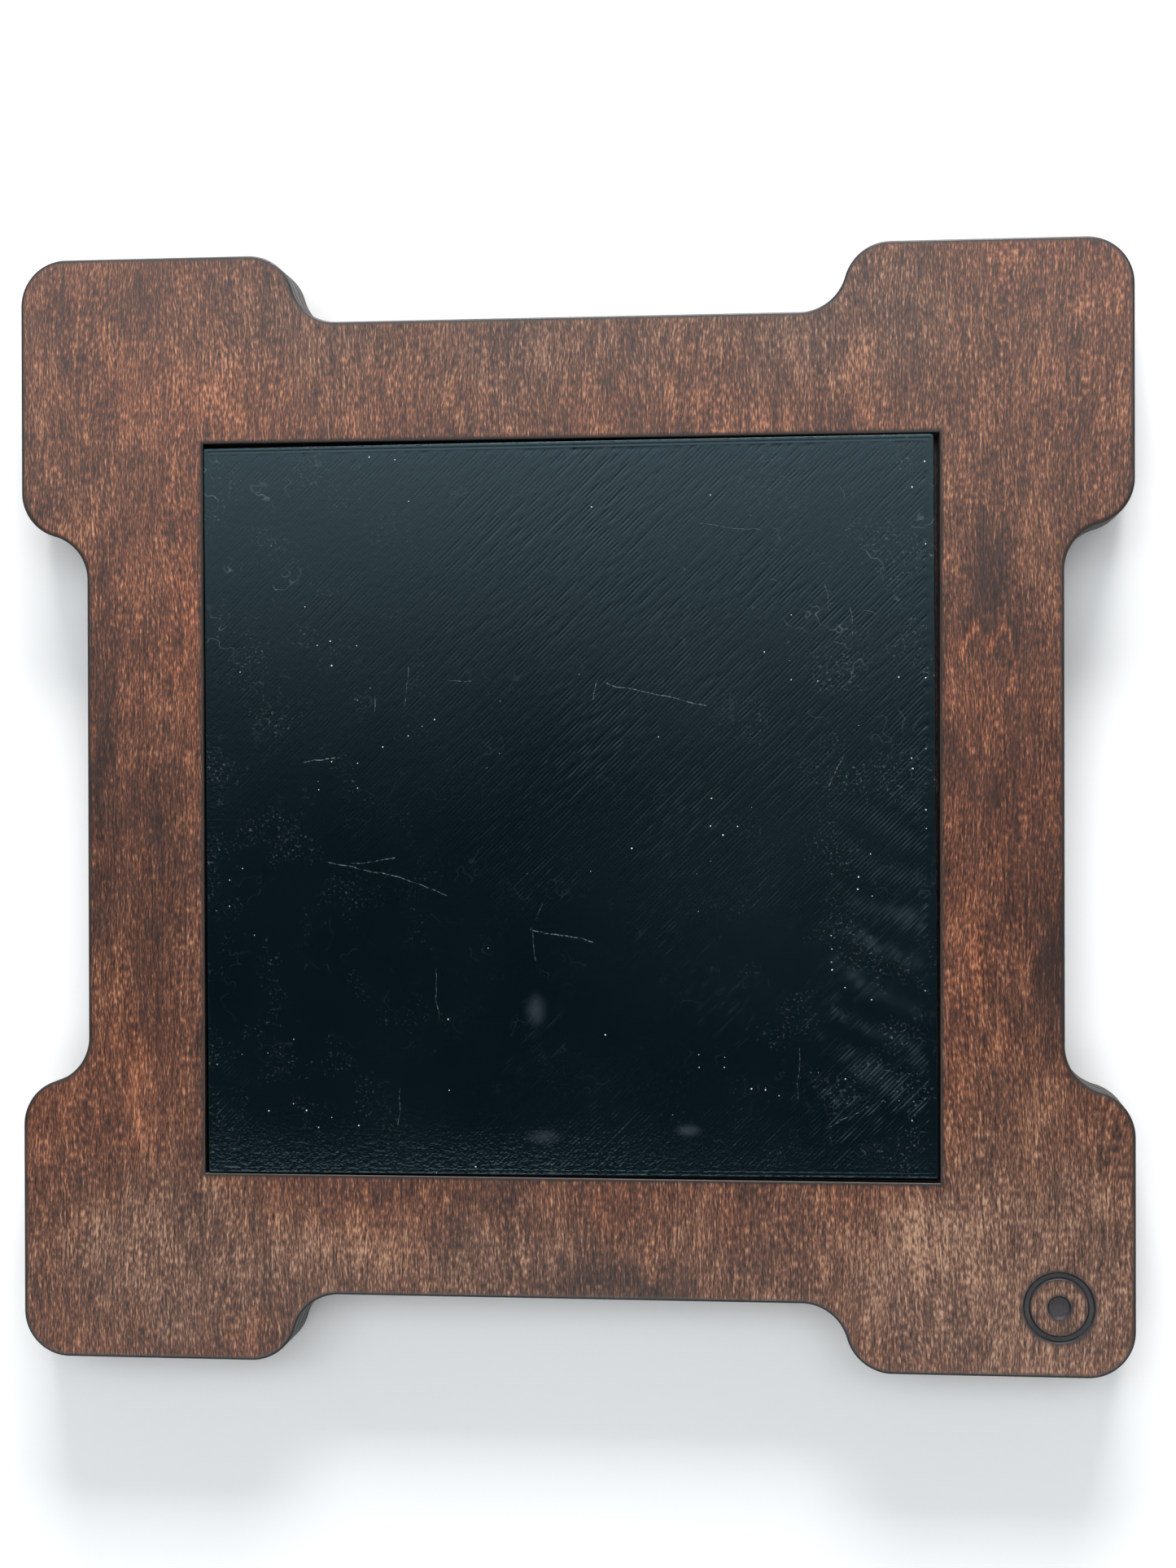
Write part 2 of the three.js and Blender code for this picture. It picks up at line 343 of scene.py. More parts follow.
class Shader:
    """A material's node tree. Any value may be a number, a tuple or another node's socket."""

    def __init__(self, tree):
        self.tree = tree
        self.tree.nodes.clear()

    def put(self, socket, value):
        """Links a value to an input socket, or sets it there."""
        if isinstance(value, bpy.types.NodeSocket):
            self.tree.links.new(value, socket)
        else:
            socket.default_value = value

    def node(self, kind, inputs, output=0, **settings):
        """Adds a node with these inputs and settings, and returns one of its outputs."""
        made = self.tree.nodes.new("ShaderNode" + kind)
        for name, value in settings.items():
            setattr(made, name, value)
        for key, value in inputs.items():
            self.put(made.inputs[key], value)
        return made.outputs[output]

    def position(self):
        """The point in the piece's own frame, in millimetres."""
        metres = self.node("TexCoord", {}, "Object")
        return self.scaled(metres, (1 / MM,) * 3)

    def scaled(self, vector, factors):
        return self.node("VectorMath", {0: vector, 1: factors}, operation="MULTIPLY")

    def moved(self, vector, offset):
        return self.node("VectorMath", {0: vector, 1: offset}, operation="ADD")

    def parts(self, vector):
        """The three outputs x, y and z of a vector or a colour."""
        made = self.tree.nodes.new("ShaderNodeSeparateXYZ")
        self.put(made.inputs[0], vector)
        return made.outputs

    def vector(self, x=0.0, y=0.0, z=0.0):
        return self.node("CombineXYZ", {0: x, 1: y, 2: z})

    def math(self, operation, a, b=0.0, clamp=False):
        return self.node("Math", {0: a, 1: b}, operation=operation, use_clamp=clamp)

    def add(self, *values):
        total = values[0]
        for value in values[1:]:
            total = self.math("ADD", total, value)
        return total

    def times(self, *values):
        total = values[0]
        for value in values[1:]:
            total = self.math("MULTIPLY", total, value)
        return total

    def noise(self, point, size, detail=2.0, roughness=0.5, output=0):
        """Smooth noise around 0.5. Its features have this size; 0 means none along that axis."""
        scale = tuple(1 / length if length else 0.0 for length in size)
        return self.node(
            "TexNoise",
            {"Vector": self.scaled(point, scale), "Scale": 1.0, "Detail": detail, "Roughness": roughness},
            output,
        )

    def swing(self, value, reach):
        """Noise around 0.5 made into noise around 0."""
        return self.times(self.math("SUBTRACT", value, 0.5), reach)

    def ease(self, value, start, end, low=0.0, high=1.0):
        """low before start, high after end, and a smooth step between them."""
        return self.node(
            "MapRange",
            {"Value": value, "From Min": start, "From Max": end, "To Min": low, "To Max": high},
            interpolation_type="SMOOTHSTEP",
        )

    def blend(self, factor, a, b, mode="MIX"):
        """Mixes two colours."""
        made = self.tree.nodes.new("ShaderNodeMix")
        made.data_type = "RGBA"
        made.blend_type = mode
        self.put(made.inputs[0], factor)
        self.put(made.inputs[6], a)
        self.put(made.inputs[7], b)
        return made.outputs[2]

    def tint(self, factor, colour, tint):
        """Multiplies a colour by a tint, as far as factor says."""
        return self.blend(self.math("MULTIPLY", factor, 1.0, clamp=True), colour, tint, "MULTIPLY")

    def ramp(self, value, stops):
        """A colour scale through (place, colour) stops."""
        made = self.tree.nodes.new("ShaderNodeValToRGB")
        scale = made.color_ramp
        while len(scale.elements) < len(stops):
            scale.elements.new(0.5)
        for element, (place, colour) in zip(scale.elements, stops):
            element.position = place
            element.color = colour
        self.put(made.inputs[0], value)
        return made.outputs[0]

    def spot(self, x, y, centre, radii, edge=1.0):
        """1 in the middle of an elliptic spot, falling smoothly to 0 at its rim."""
        dx = self.math("DIVIDE", self.math("SUBTRACT", x, centre[0]), radii[0])
        dy = self.math("DIVIDE", self.math("SUBTRACT", y, centre[1]), radii[1])
        distance = self.math("SQRT", self.add(self.times(dx, dx), self.times(dy, dy)))
        return self.ease(distance, 1.0, 1.0 - edge)

    def stroke(self, point, start, end, width):
        """1 on the line from start to end, falling to 0 at half the width from it."""
        along = (end[0] - start[0], end[1] - start[1], 0.0)
        length_squared = along[0] ** 2 + along[1] ** 2
        offset = self.node("VectorMath", {0: point, 1: (*start, 0.0)}, operation="SUBTRACT")
        dot = self.node("VectorMath", {0: offset, 1: along}, "Value", operation="DOT_PRODUCT")
        share = self.math("DIVIDE", dot, length_squared, clamp=True)
        nearest = self.scaled(along, self.vector(share, share, share))
        gap = self.node("VectorMath", {0: offset, 1: nearest}, operation="SUBTRACT")
        distance = self.node("VectorMath", {0: gap}, "Value", operation="LENGTH")
        return self.ease(distance, width / 2, 0.0)

    def finish(self, colour, roughness, bumps=(), tint=(1.0, 1.0, 1.0, 1.0)):
        """A Principled surface. bumps are (height in millimetres, strength) pairs."""
        made = self.tree.nodes.new("ShaderNodeBsdfPrincipled")
        self.put(made.inputs["Base Color"], colour)
        self.put(made.inputs["Roughness"], roughness)
        made.inputs["Specular Tint"].default_value = tint
        normal = None
        for height, strength in bumps:
            bump = self.tree.nodes.new("ShaderNodeBump")
            bump.inputs["Distance"].default_value = MM
            bump.inputs["Strength"].default_value = strength
            self.put(bump.inputs["Height"], height)
            if normal is not None:
                self.put(bump.inputs["Normal"], normal)
            normal = bump.outputs[0]
        if normal is not None:
            self.put(made.inputs["Normal"], normal)
        out = self.tree.nodes.new("ShaderNodeOutputMaterial")
        self.put(out.inputs[0], made.outputs[0])


def new_material(name):
    """A material, and the shader that fills its node tree."""
    material = bpy.data.materials.new(name)
    material.use_nodes = True
    return material, Shader(material.node_tree)


# How the stain took on the top face, and the painted sheen on its top and bottom strips:
# centre, radii, how much darker (-) or lighter (+), how much redder (+) or greyer (-).
STAIN_AND_SHEEN_SPOTS = [
    ((-65.0, 5.0), (3.4, 38.0), -0.30, -0.5),  # dark edge of the left strip
    ((-57.5, -10.0), (9.0, 40.0), -0.16, 0.2),
    ((-52.5, 22.0), (4.5, 36.0), 0.05, 1.0),  # orange beside the opening
    ((-53.0, 57.0), (20.0, 13.0), 0.07, 0.8),
    ((-60.0, -40.0), (1.8, 11.0), 0.20, 0.6),
    ((65.5, -20.0), (4.6, 19.0), -0.34, 0.0),
    ((60.0, -2.0), (10.0, 44.0), -0.14, 0.2),
    ((52.0, 7.0), (2.4, 8.0), -0.22, 0.0),
    ((57.0, 33.0), (5.0, 9.0), -0.22, 0.0),
    ((54.5, -19.0), (1.6, 9.0), 0.20, 0.6),
    ((58.5, -31.0), (1.5, 8.0), 0.18, 0.5),
    ((6.0, -65.0), (15.0, 5.0), -0.26, -0.2),
    ((-12.0, -53.0), (34.0, 1.8), -0.16, 0.0),
    ((48.0, -58.0), (16.0, 10.0), 0.14, -0.3),
    ((-30.0, -62.0), (16.0, 8.0), 0.14, -0.3),
    ((-62.0, -60.0), (12.0, 12.0), 0.10, -0.4),
    ((-61.0, 70.0), (6.0, 4.0), -0.10, -0.3),
    ((40.0, 62.0), (2.0, 9.0), 0.10, 0.3),
    # Painted sheen: these four make the lower right, the bottom strip, the lower left and the top strip
    # lighter and much greyer.
    ((60.0, -63.0), (34.0, 34.0), 0.12, -2.4),
    ((0.0, -66.0), (90.0, 18.0), 0.03, -1.6),
    ((-58.0, -62.0), (30.0, 22.0), 0.04, -1.6),
    ((8.0, 66.0), (80.0, 18.0), 0.02, -1.4),
]
WOOD_TONES = [
    (0.00, srgb(34, 18, 13)),
    (0.30, srgb(66, 38, 27)),
    (0.50, srgb(92, 56, 39)),
    (0.70, srgb(130, 86, 62)),
    (0.95, srgb(174, 126, 95)),
]
RED_TINT = (1.24, 0.98, 0.82, 1.0)
# Greying for negative redness; from the four large spots it is painted sheen.
GREY_AND_SHEEN_TINT = (0.95, 1.14, 1.34, 1.0)
SCORCHED = srgb(30, 24, 22)


def stain_and_sheen_spots(s, point, placed, spots):
    """How much lighter and how much redder the spots make the wood: stain, and painted sheen that
    lightens and greys the top and bottom strips.
    """
    wobble = s.noise(placed, (4.0, 9.0, 0), 3.0, 0.6, "Color")
    wobble = s.scaled(s.moved(wobble, (-0.5, -0.5, -0.5)), (7.0, 16.0, 0))
    x, y, _ = s.parts(s.moved(point, wobble))
    lighter = 0.0
    redder = 0.0
    for centre, radii, lift, redness in spots:
        inside = s.spot(x, y, centre, radii)
        lighter = s.add(lighter, s.times(inside, lift))
        redder = s.add(redder, s.times(inside, redness))
    return lighter, redder


def flame_figure(s, point, ripple):
    """Dark pointed tips in the veneer beside the opening, and the light rim below them."""
    x, y, _ = s.parts(point)
    tips = s.math("PINGPONG", s.add(x, s.times(ripple, 2.0)), 1.9)
    above = s.math("SUBTRACT", y, s.add(s.times(tips, 1.9), 21.5))
    dark = s.times(s.ease(above, -0.5, 0.7), s.spot(x, y, (57.0, 25.0), (6.0, 12.0), 0.6))
    near_tips = s.ease(s.math("ABSOLUTE", above), 2.2, 0.0)
    light = s.times(near_tips, s.spot(x, y, (56.0, 23.5), (5.0, 6.0), 0.6))
    return dark, light


def stained_veneer(name, seed, spots=()):
    """Walnut-stained birch with its grain along Y: short light fibres over darker, mottled wood."""
    material, s = new_material(name)
    point = s.position()
    placed = s.moved(point, (seed * 37.1, seed * 53.7, seed * 11.3))
    sway = s.swing(s.noise(placed, (16, 60, 0), 2.0, 0.5), 7.0)
    ripple = s.swing(s.noise(placed, (1.6, 9.0, 0), 1.0, 0.5), 0.25)
    grain = s.moved(placed, s.vector(s.add(sway, ripple)))
    dashes = s.noise(grain, (0.20, 0.9, 0), 1.0, 0.5)
    fibres = s.noise(s.moved(grain, (5.3, 0, 0)), (0.30, 5.0, 0), 2.0, 0.75)
    streaks = s.noise(s.moved(grain, (0, 7.7, 0)), (1.3, 14, 0), 3.0, 0.6)
    mottle = s.noise(grain, (5.5, 9, 0), 5.0, 0.68)

    swings = ((dashes, 1.45), (fibres, 1.30), (streaks, 0.50), (mottle, 0.68))
    tone = s.add(*[s.swing(value, reach) for value, reach in swings], 0.44)
    red = s.ease(s.noise(placed, (34, 55, 0), 1.0, 0.5), 0.32, 0.62)
    if spots:
        # Stain spots, and painted sheen that lightens and greys the top and bottom strips.
        lighter, redder = stain_and_sheen_spots(s, point, placed, spots)
        dark, light = flame_figure(s, point, ripple)
        tone = s.add(tone, lighter, s.times(dark, -0.20), s.times(light, 0.20))
        red = s.add(red, redder, light)

    colour = s.ramp(tone, WOOD_TONES)
    colour = s.tint(s.times(red, 0.5), colour, RED_TINT)
    # Negative redness greys the wood: on the top and bottom strips this is painted sheen.
    colour = s.tint(s.times(red, -1.0), colour, GREY_AND_SHEEN_TINT)
    scorch = s.node("Attribute", {}, "Fac", attribute_name="scorch")
    scorch = s.times(scorch, s.ease(dashes, 0.2, 0.8, 0.8, 1.1))
    colour = s.blend(s.math("MULTIPLY", scorch, 0.9, clamp=True), colour, SCORCHED)

    sheen = s.noise(placed, (3.0, 9.0, 0), 2.0, 0.5)
    roughness = s.add(s.times(sheen, 0.08), s.times(fibres, 0.10), 0.20)
    pores = s.add(s.times(dashes, 0.030), s.times(fibres, 0.035))
    s.finish(colour, roughness, [(pores, 0.35)])
    return material


def laser_cut_edge(name, seed, light, dark, banding):
    """The sealed, laser-darkened edge of a ply: fine upright striations and slow scorching."""
    material, s = new_material(name)
    placed = s.moved(s.position(), (seed * 17.3, seed * 9.1, 0))
    upright = s.noise(placed, (0.22, 0.22, 4.0), 2.0, 0.6)
    fibres = s.noise(placed, (1.6, 1.6, 0.14), 2.0, 0.55)
    slow = s.noise(placed, (9, 9, 3), 2.0, 0.5)
    tone = s.add(s.swing(upright, 0.9), s.swing(fibres, banding), s.swing(slow, 0.9), 0.45)
    colour = s.ramp(tone, [(0.15, dark), (0.85, light)])
    roughness = s.add(s.times(upright, 0.16), s.times(slow, 0.14), 0.27)
    height = s.add(s.times(upright, 0.03), s.times(fibres, 0.012))
    s.finish(colour, roughness, [(height, 0.8)])
    return material


def engraved_wood():
    """The floor and walls of the engraved mark: matt, grey-black char."""
    material, s = new_material("engraved_char")
    point = s.position()
    speckle = s.noise(point, (0.25, 0.5, 0.25), 3.0, 0.6)
    slow = s.noise(point, (2, 3, 1), 2.0, 0.5)
    tone = s.add(s.times(speckle, 0.6), s.times(slow, 0.4))
    colour = s.ramp(tone, [(0.3, srgb(26, 24, 26)), (0.7, srgb(58, 56, 60))])
    roughness = s.add(s.times(speckle, 0.2), 0.4)
    s.finish(colour, roughness, [(s.times(speckle, 0.05), 0.8)])
    return material


SCRATCH_WIDTH = 0.17
SCRATCHES = [  # start, end, strength
    ((5.5, 17.0), (19.2, 13.9), 1.0),
    ((4.2, 17.3), (3.7, 14.9), 0.8),
    ((-32.8, -7.3), (-22.8, -9.4), 0.7),
    ((-22.8, -9.4), (-16.5, -11.8), 0.5),
    ((-29.5, -7.5), (-23.6, -6.7), 0.6),
    ((-5.1, -16.7), (3.4, -18.1), 0.9),
    ((-4.9, -16.5), (-4.3, -20.8), 0.6),
    ((-3.5, -13.0), (-4.2, -15.3), 0.4),
    ((-18.1, -22.0), (-17.8, -29.0), 0.7),
    ((-21.6, 19.4), (-22.4, 14.1), 0.7),
    ((-15.9, 17.5), (-13.1, 17.5), 0.5),
    ((37.5, 7.1), (35.5, 3.0), 0.8),
    ((-36.3, 6.5), (-31.4, 7.0), 0.8),
    ((-26.3, 15.6), (-26.4, 13.4), 0.8),
    ((31.6, -32.2), (31.3, -39.3), 0.6),
    ((-23.0, -38.5), (-23.3, -43.2), 0.6),
    ((38.4, 27.0), (38.9, 23.3), 0.8),
    ((35.2, 30.5), (35.6, 26.8), 0.5),
    ((18.2, 38.6), (26.3, 37.5), 0.4),
    ((35.0, -43.2), (42.8, -39.3), 0.4),
]
SMUDGES = [  # centre, radii
    ((-4.3, -27.5), (2.0, 3.0)),
    ((-3.0, -44.8), (3.4, 1.4)),
    ((16.5, -43.7), (2.4, 1.2)),
]


def scratches(s, point):
    """Thin broken lines across the panel."""
    shake = s.noise(point, (3.0, 3.0, 0), 1.0, 0.5, "Color")
    shake = s.scaled(s.moved(shake, (-0.5, -0.5, -0.5)), (0.9, 0.9, 0))
    flat_point = s.scaled(s.moved(point, shake), (1.0, 1.0, 0.0))
    marks = 0.0
    for start, end, strength in SCRATCHES:
        line = s.times(s.stroke(flat_point, start, end, SCRATCH_WIDTH), strength)
        marks = s.math("MAXIMUM", marks, line)
    broken = s.noise(point, (0.5, 0.5, 0), 2.0, 0.6)
    return s.times(marks, s.ease(broken, 0.42, 0.66, 0.08, 1.0))


def specks(s, point):
    """Pale grains of dust, in loose clusters, at most one in each cell of 1.8 mm."""
    cells = s.tree.nodes.new("ShaderNodeTexVoronoi")
    cells.voronoi_dimensions = "2D"
    cells.inputs["Scale"].default_value = 1.0
    s.put(cells.inputs["Vector"], s.scaled(point, (1 / 1.8, 1 / 1.8, 0)))
    chance, size, _ = s.parts(cells.outputs["Color"])
    speck = s.math("LESS_THAN", cells.outputs["Distance"], s.add(s.times(size, 0.045), 0.015))
    clusters = s.noise(point, (14, 14, 0), 2.0, 0.5)
    return s.times(speck, s.math("GREATER_THAN", s.add(chance, s.times(clusters, 1.2)), 1.61))


def lint(s, point, x, y):
    """Curly wisps of lint and rubbed marks, mostly in the upper corners and down the sides."""
    curl = s.noise(s.moved(point, (9, 3, 0)), (4.2, 4.2, 0), 2.0, 0.45)
    curl = s.ease(s.math("ABSOLUTE", s.math("SUBTRACT", curl, 0.5)), 0.010, 0.003)
    upper_left = s.times(s.ease(x, -32.0, -46.0), s.ease(y, 12.0, 34.0))
    upper_right = s.times(s.ease(x, 20.0, 42.0), s.ease(y, 4.0, 24.0), 0.8)
    corners = s.math("MAXIMUM", upper_left, upper_right)
    rubbed = s.noise(s.moved(point, (2, 77, 0)), (7, 7, 0), 3.0, 0.6)
    return s.times(curl, s.ease(rubbed, 0.52, 0.66), s.add(s.times(corners, 0.8), 0.10))


def pebbled_bands(s, x, y):
    """Where the print lies uneven: along the near edge and, less, along the left one."""
    near = s.times(s.ease(y, -38.0, -50.0), s.ease(x, 38.0, -8.0, 0.30, 1.0))
    left = s.times(s.ease(x, -45.5, -49.5), s.ease(y, 22.0, 2.0), 0.35)
    return s.math("MAXIMUM", near, left)


def smudges(s, x, y, patches):
    """Dull finger marks."""
    haze = 0.0
    for centre, radii in SMUDGES:
        haze = s.math("MAXIMUM", haze, s.spot(x, y, centre, radii))
    return s.times(haze, s.ease(patches, 0.3, 0.6, 0.5, 1.0))


def printed_plastic():
    """Black satin print: dust, specks, lint, scratches, and pebbled bands along two edges, with painted
    glints on the pebbles' crests.
    """
    material, s = new_material("black_print")
    point = s.position()
    x, y, z = s.parts(point)
    on_top = s.ease(z, TOP_Z - 0.7, TOP_Z - 0.3)
    patches = s.noise(s.moved(point, (31, 8, 0)), (8, 8, 0), 3.0, 0.6)
    toward_side = s.ease(s.math("ABSOLUTE", x), 12.0, 46.0, 0.10, 1.0)
    fine_dust = s.noise(point, (0.45, 0.45, 0), 3.0, 0.7)
    dust = s.times(s.ease(fine_dust, 0.56, 0.72), s.ease(patches, 0.48, 0.64), toward_side)
    marks = s.times(scratches(s, point), on_top)
    haze = s.times(smudges(s, x, y, patches), on_top)
    pebbled = pebbled_bands(s, x, y)
    pebbles = s.noise(point, (0.75, 0.5, 0), 2.0, 0.6)
    cloud = s.noise(point, (20, 20, 0), 3.0, 0.55)

    colour = s.blend(cloud, srgb(0, 9, 14), srgb(4, 14, 20))
    covers = [  # how much of it, and its colour, from the lowest to the uppermost
        (s.times(haze, 0.12), srgb(96, 106, 116)),
        (s.times(dust, 0.26), srgb(140, 150, 158)),
        (s.times(lint(s, point, x, y), on_top, 0.22), srgb(150, 162, 168)),
        # Pale on the crests of the pebbles: painted glints.
        (s.times(pebbled, s.ease(pebbles, 0.60, 0.78), 0.06), srgb(120, 130, 138)),
        (s.times(marks, 0.38), srgb(170, 172, 172)),
        (s.times(specks(s, point), on_top), srgb(205, 205, 200)),
    ]
    for amount, cover in covers:
        colour = s.blend(amount, colour, cover)

    worn = s.times(s.ease(x, -8.0, 22.0), s.ease(y, -42.0, -10.0))  # duller right of the middle
    roughness = s.add(
        s.times(cloud, 0.05), s.times(dust, 0.15), s.times(haze, 0.12), s.times(worn, 0.045), 0.117
    )
    fine = s.noise(point, (0.9, 0.9, 0.2), 2.0, 0.6)
    height = s.add(s.times(pebbled, pebbles, 0.045), s.times(fine, 0.004), s.times(marks, -0.02))
    layers = s.math("SINE", s.times(z, 2 * math.pi / LAYER))
    bumps = [(height, 1.0), (s.times(layers, 0.002), 0.3)]
    s.finish(colour, roughness, bumps, tint=(0.62, 0.91, 1.0, 1.0))
    return material


def foot_rubber():
    """Soft matt rubber with a little dust."""
    material, s = new_material("foot_rubber")
    point = s.position()
    grit = s.noise(point, (1 / 3, 1 / 3, 1 / 3), 3.0, 0.6)
    slow = s.noise(point, (2.5, 2.5, 2.5), 2.0, 0.5)
    tone = s.add(s.times(grit, 0.5), s.times(slow, 0.5))
    colour = s.ramp(tone, [(0.35, srgb(22, 22, 23)), (0.7, srgb(48, 47, 46))])
    s.finish(colour, s.add(s.times(grit, 0.2), 0.62), [(s.times(grit, 0.03), 0.8)])
    return material


# ---- Plywood frame --------------------------------------------------------------------------


def edge_profile(rounding, steps=3):
    """(inwards, downwards) offsets that round a corner, from the wall to the flat face."""
    if rounding <= 0:
        return [(0.0, 0.0)]
    if rounding <= GLUE_GROOVE:
        return [(0.0, rounding), (rounding, 0.0)]
    angles = [k / steps * QUARTER for k in range(steps + 1)]
    return [(rounding * (1 - math.cos(a)), rounding * (1 - math.sin(a))) for a in angles]


def add_mark(builder, face_z):
    """Engraves a ring and a dot. Returns the outermost ring, which is a hole in the face."""
    outer = MARK_RADIUS + MARK_LINE / 2
    inner = MARK_RADIUS - MARK_LINE / 2

    def ring(radius, down=0.0, scorch=1.0):
        return builder.ring(at_height(circle(MARK_CENTRE, radius), face_z - down), scorch)

    halo = ring(outer + MARK_RIM + MARK_SCORCH, scorch=0.0)
    groove = [ring(outer - inwards, down) for inwards, down in GROOVE_WALL]
    groove += [ring(inner + inwards, down) for inwards, down in reversed(GROOVE_WALL)]
    land = [
        ring(inner - MARK_RIM - LAND_SCORCH, scorch=LAND_SCORCH_LEVEL),
        ring(MARK_DOT_RADIUS + MARK_RIM + LAND_SCORCH, scorch=LAND_SCORCH_LEVEL),
    ]
    dot = [ring(MARK_DOT_RADIUS - inwards, down) for inwards, down in GROOVE_WALL]

    face_rings = [(halo, groove[0]), (groove[-1], land[0]), (land[0], land[1]), (land[1], dot[0])]
    for first, second in face_rings:
        builder.band(first, second, FACE)
    for rings in (groove, dot):
        for first, second in zip(rings, rings[1:]):
            builder.band(first, second, CHAR)
    builder.cap([dot[-1]], CHAR)
    return halo


def ply_piece(node, materials, opening, recess, top_round, bottom_round, marked=False):
    """One ply of the frame, closed, in the space of its CAD node."""
    low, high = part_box(node)
    z0, z1 = low.z / MM, high.z / MM
    builder = Builder()
    # (inset, height, scorch) of each ring of the edge, from the underside up to the top
    rows = [(inwards + recess, z0 + up, 1.0) for inwards, up in reversed(edge_profile(bottom_round))]
    rows += [(inwards + recess, z1 - down, 1.0) for inwards, down in edge_profile(top_round)]
    if bottom_round:
        rows.insert(0, (bottom_round + recess + SCORCH_WIDTH, z0, 0.0))
    if top_round:
        rows.append((top_round + recess + SCORCH_WIDTH, z1, 0.0))

    outer = [builder.ring(at_height(board_outline(i), z), scorch) for i, z, scorch in rows]
    inner = [builder.ring(at_height(square(opening + i), z), scorch) for i, z, scorch in rows]
    last = len(rows) - 2
    for k in range(len(rows) - 1):
        is_flat = (k == 0 and bottom_round > 0) or (k == last and top_round > 0)
        slot = FACE if is_flat else EDGE
        builder.band(outer[k], outer[k + 1], slot)
        builder.band(inner[k + 1], inner[k], slot)
    holes = [add_mark(builder, z1)] if marked else []
    builder.cap([outer[-1], inner[-1], *holes], FACE, upward=True)
    builder.cap([outer[0], inner[0]], FACE, upward=False)

    piece = builder.make(node + "_cut", materials)
    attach(piece, "frame")
    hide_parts(node)
    return piece


def plywood_frame():
    """Three sheets of three plies each. The bottom sheet's smaller window leaves a ledge."""
    # The top face's wood also carries the painted sheen of the spots.
    top_face = stained_veneer("stained_birch_top_and_sheen", 0, STAIN_AND_SHEEN_SPOTS)
    underside = stained_veneer("stained_birch_underside", 3)
    hidden_face = stained_veneer("stained_birch_inner", 5)
    veneer_edge = laser_cut_edge("laser_cut_veneer", 1, srgb(44, 31, 25), srgb(12, 8, 7), 0.8)
    core_edge = laser_cut_edge("laser_cut_core", 2, srgb(27, 20, 17), srgb(6, 5, 4), 0.5)
    char = engraved_wood()
    for sheet in ("bottom_sheet", "middle_sheet", "top_sheet"):
        is_top = sheet == "top_sheet"
        is_bottom = sheet == "bottom_sheet"
        opening = WINDOW_HALF if is_bottom else OPENING_HALF
        ply_piece(
            f"{sheet}_back_veneer",
            [underside if is_bottom else hidden_face, veneer_edge],
            opening,
            recess=0.0,
            top_round=0.0,
            bottom_round=ARRIS if is_bottom else GLUE_GROOVE,
        )
        ply_piece(f"{sheet}_cross_core", [hidden_face, core_edge], opening, CORE_RECESS, 0.0, 0.0)
        ply_piece(
            f"{sheet}_face_veneer",
            [top_face if is_top else hidden_face, veneer_edge, char],
            opening,
            recess=0.0,
            top_round=ARRIS if is_top else GLUE_GROOVE,
            bottom_round=0.0,
            marked=is_top,
        )


# ---- Printed panel --------------------------------------------------------------------------


def smooth(value, start, end):
    """0 before start, 1 after end, and a smooth step between them."""
    share = min(1.0, max(0.0, (value - start) / (end - start)))
    return share * share * (3 - 2 * share)


def relief_strength(x, y):
    """How deep the grooves between the beads are, from 0 to 1."""
    across = 0.25 + 0.75 * smooth(x, -26, 2)
    patchy = 0.75 + 0.9 * noise.noise(Vector((x / 11, y / 11, 4.0)))
    broken = 0.6 + 1.7 * noise.noise(Vector(((x + y) / 2.4, (y - x) / 1.2, 2.0)))
    even = across * min(1.2, max(0.25, patchy)) * min(1.5, max(0.05, broken))
    return even + 1.7 * ringing(x, y)


def ringing(x, y):
    """Bands, near the right edge and low on the left, where the print head shook: 0 to 1."""
    right = smooth(x, 31, 41) * smooth(x, 49.5, 47.5) * smooth(y, 9, -4) * smooth(y, -47, -36)
    left = 0.6 * smooth(x, -40, -46) * smooth(y, -28, -36) * smooth(y, -47, -43)
    bend = noise.noise(Vector((x / 9, y / 9, 1.0)))
    phase = 2 * math.pi * (0.507 * x + 0.861 * y) / 5.0 + 3.0 * bend
    return max(right, left) * (0.5 + 0.5 * math.cos(phase)) ** 1.5


def sag(x, y):
    """Slow unevenness of the printed face, downwards."""
    return 0.004 * (0.5 + 0.5 * noise.noise(Vector((x / 6, y / 6, 9.0))))


def bead_profile(offset):
    """Height share across a bead: 0 in the valley at offset 0 or 1, and 1 on its crest."""
    return 1 - (2 * offset - 1) ** 2


def bead_row(line, half, top, level):
    """One line of points along a bead over a square: where they are along it, and the points.

    Lines are numbered from the one through the centre. level is how much lower the bead lies."""
    v = line * BEAD / SAMPLES_PER_BEAD
    length = half * math.sqrt(2) - abs(v)
    bead, part = divmod(line, SAMPLES_PER_BEAD)
    turns = [BEAD_TURN - length, length - BEAD_TURN] if length > 2 * BEAD_TURN else []
    first = math.ceil((BEAD_TURN - length) / BEAD_STEP + STEP_MARGIN)
    final = math.floor((length - BEAD_TURN) / BEAD_STEP - STEP_MARGIN)
    keys = {-length, length, *turns, *(k * BEAD_STEP for k in range(first, final + 1))}
    places = sorted(keys)
    points = []
    for t in places:
        x = (t - v) / math.sqrt(2)
        y = (t + v) / math.sqrt(2)
        share = bead_profile(part / SAMPLES_PER_BEAD) * (1 - level)
        if abs(t) == length:
            share = 0.0
        elif part == 0 and t in turns:
            # two beads join in a U-turn at one end of the valley and leave a pit at the other
            share = TURN_SHARE if (bead % 2 == 0) == (t > 0) else PIT_SHARE
        depth = BEAD_RELIEF * relief_strength(x, y)
        points.append((x, y, top - depth * (1 - share) - sag(x, y)))
    return places, points


